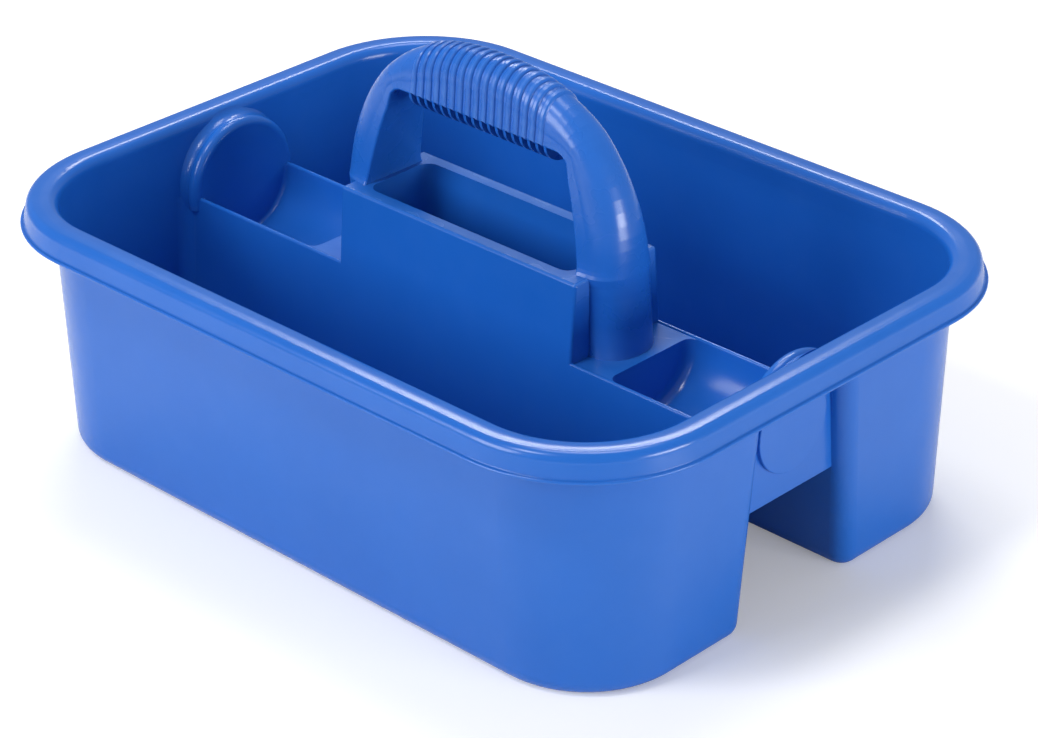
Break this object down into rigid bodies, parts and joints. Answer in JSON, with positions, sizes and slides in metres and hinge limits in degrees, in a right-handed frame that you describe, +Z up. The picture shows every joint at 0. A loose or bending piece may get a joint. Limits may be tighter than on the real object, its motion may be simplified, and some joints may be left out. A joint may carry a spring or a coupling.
{
  "type": "cleaning caddy",
  "caption": "Open carrying tub with two deep bins, a raised middle spine with a pocket and half-round end troughs, and a ribbed arch handle.",
  "frame": {"origin": "on the floor under the middle of the tub", "axes": "+X along the length (both ends are alike); +Y across, from the front bin to the back bin; +Z up"},
  "size_m": [0.4666, 0.3524, 0.2427],
  "materials": {
    "tub_body": "smooth semi-gloss moulded polypropylene, blue",
    "carry_handle": "smooth satin moulded polypropylene, blue",
    "handle_screws": "zinc plated steel"
  },
  "bodies": {
    "root": {"tub_body": "tub_body", "carry_handle": "carry_handle", "handle_screws": "handle_screws"}
  },
  "joints": []
}
